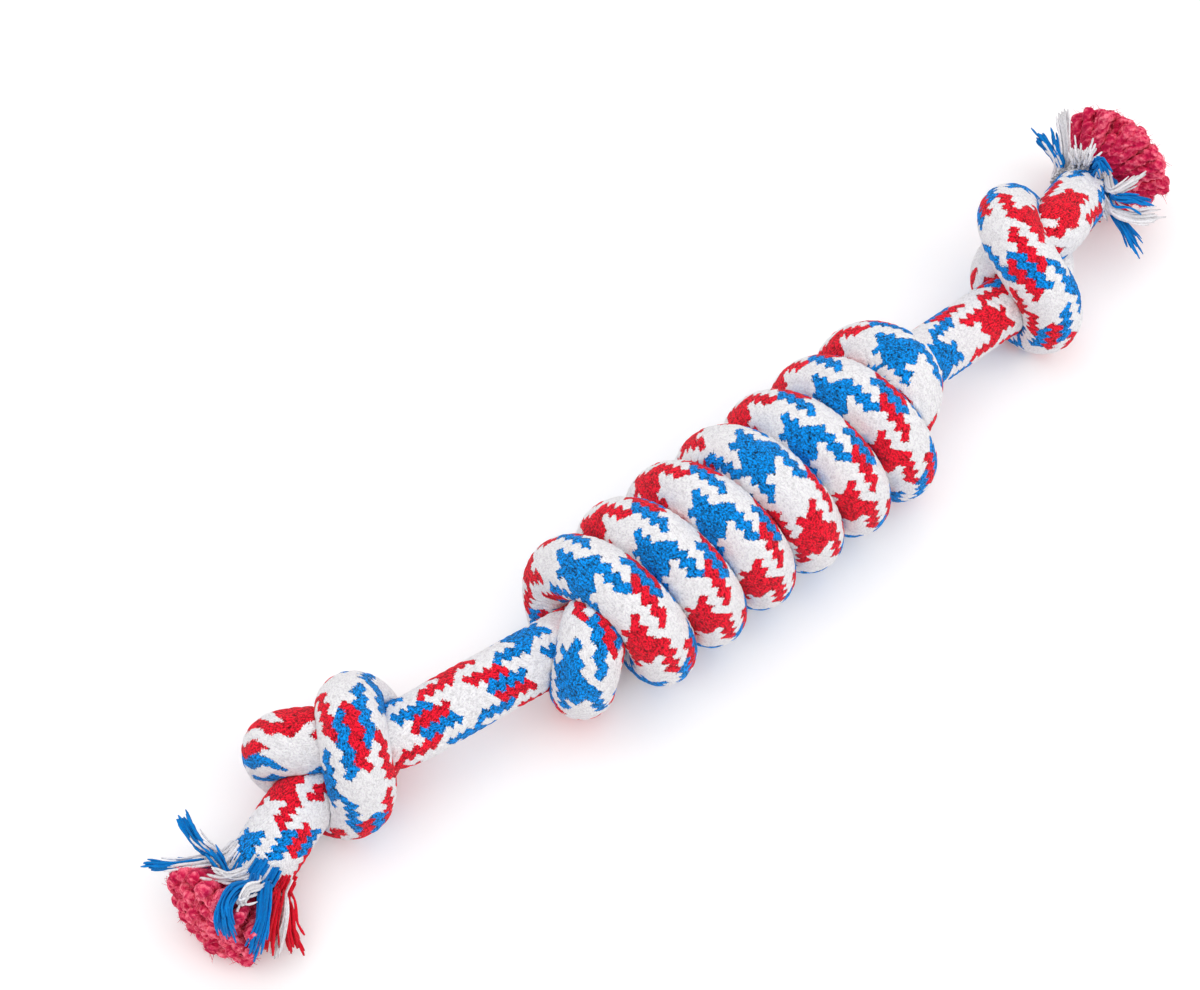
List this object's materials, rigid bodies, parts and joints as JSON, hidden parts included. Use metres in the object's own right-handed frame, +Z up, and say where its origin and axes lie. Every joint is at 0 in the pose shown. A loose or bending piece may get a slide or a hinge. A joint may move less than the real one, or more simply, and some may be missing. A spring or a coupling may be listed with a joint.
{
  "type": "rope dog toy",
  "caption": "Braided rope dog toy: rope wound into a barrel between two bending necks, with an overhand knot and a frayed tuft at each end, for chewing and tugging.",
  "frame": {"origin": "on the floor, on the flat that the barrel's middle turn rests on", "axes": "+X along the barrel, +Z up from the floor, +Y across the barrel"},
  "size_m": [0.268, 0.0472, 0.0361],
  "materials": {
    "braid": "matt braided cotton in red, blue and white",
    "core_yarn": "matt fluffy crimson cotton yarn",
    "blue_yarn": "matt cotton yarn",
    "white_yarn": "matt cotton yarn",
    "red_yarn": "matt cotton yarn"
  },
  "bodies": {
    "coil": {"cover_coil": "braid", "core_coil": "core_yarn"},
    "left_neck": {"cover_neck_left": "braid", "core_neck_left": "core_yarn"},
    "left_knot": {"cover_knot_left": "braid", "core_knot_left": "core_yarn"},
    "left_tail": {"cover_tail_left": "braid", "core_yarns_left_0": "core_yarn", "core_yarns_left_1": "core_yarn", "core_yarns_left_2": "core_yarn", "core_yarns_left_3": "core_yarn", "core_yarns_left_4": "core_yarn", "core_yarns_left_5": "core_yarn", "core_yarns_left_6": "core_yarn", "fringe_left_1": "blue_yarn", "fringe_left_2": "white_yarn", "fringe_left_3": "red_yarn", "fringe_left_4": "white_yarn", "fringe_left_5": "blue_yarn", "fringe_left_6": "white_yarn", "fringe_left_7": "red_yarn", "fringe_left_8": "white_yarn"},
    "right_neck": {"cover_neck_right": "braid", "core_neck_right": "core_yarn"},
    "right_knot": {"cover_knot_right": "braid", "core_knot_right": "core_yarn"},
    "right_tail": {"cover_tail_right": "braid", "core_yarns_right_0": "core_yarn", "core_yarns_right_1": "core_yarn", "core_yarns_right_2": "core_yarn", "core_yarns_right_3": "core_yarn", "core_yarns_right_4": "core_yarn", "core_yarns_right_5": "core_yarn", "core_yarns_right_6": "core_yarn", "fringe_right_1": "blue_yarn", "fringe_right_2": "white_yarn", "fringe_right_3": "red_yarn", "fringe_right_4": "white_yarn", "fringe_right_5": "blue_yarn", "fringe_right_6": "white_yarn", "fringe_right_7": "red_yarn", "fringe_right_8": "white_yarn"}
  },
  "joints": [
    {"name": "left_neck_swing", "type": "hinge", "parent": "coil", "child": "left_neck", "pos_m": [-0.05656, 0.0032, 0.0164], "axis": [0, 0, 1], "range_deg": [-35, 35]},
    {"name": "left_neck_lift", "type": "hinge", "parent": "left_neck", "child": "left_knot", "pos_m": [-0.06856, 0.0046, 0.017], "axis": [0.1159, 0.9933, 0], "range_deg": [-35, 35]},
    {"name": "left_tail_swing", "type": "hinge", "parent": "left_knot", "child": "left_tail", "pos_m": [-0.10976, 0.0059, 0.0101], "axis": [0, 0, 1], "range_deg": [-30, 30]},
    {"name": "right_neck_swing", "type": "hinge", "parent": "coil", "child": "right_neck", "pos_m": [0.05996, 0.004, 0.0162], "axis": [0, 0, 1], "range_deg": [-35, 35]},
    {"name": "right_neck_lift", "type": "hinge", "parent": "right_neck", "child": "right_knot", "pos_m": [0.07196, 0.0043, 0.0144], "axis": [0.025, -0.9997, 0], "range_deg": [-35, 35]},
    {"name": "right_tail_swing", "type": "hinge", "parent": "right_knot", "child": "right_tail", "pos_m": [0.11556, 0.0126, 0.0166], "axis": [0, 0, 1], "range_deg": [-30, 30]}
  ]
}
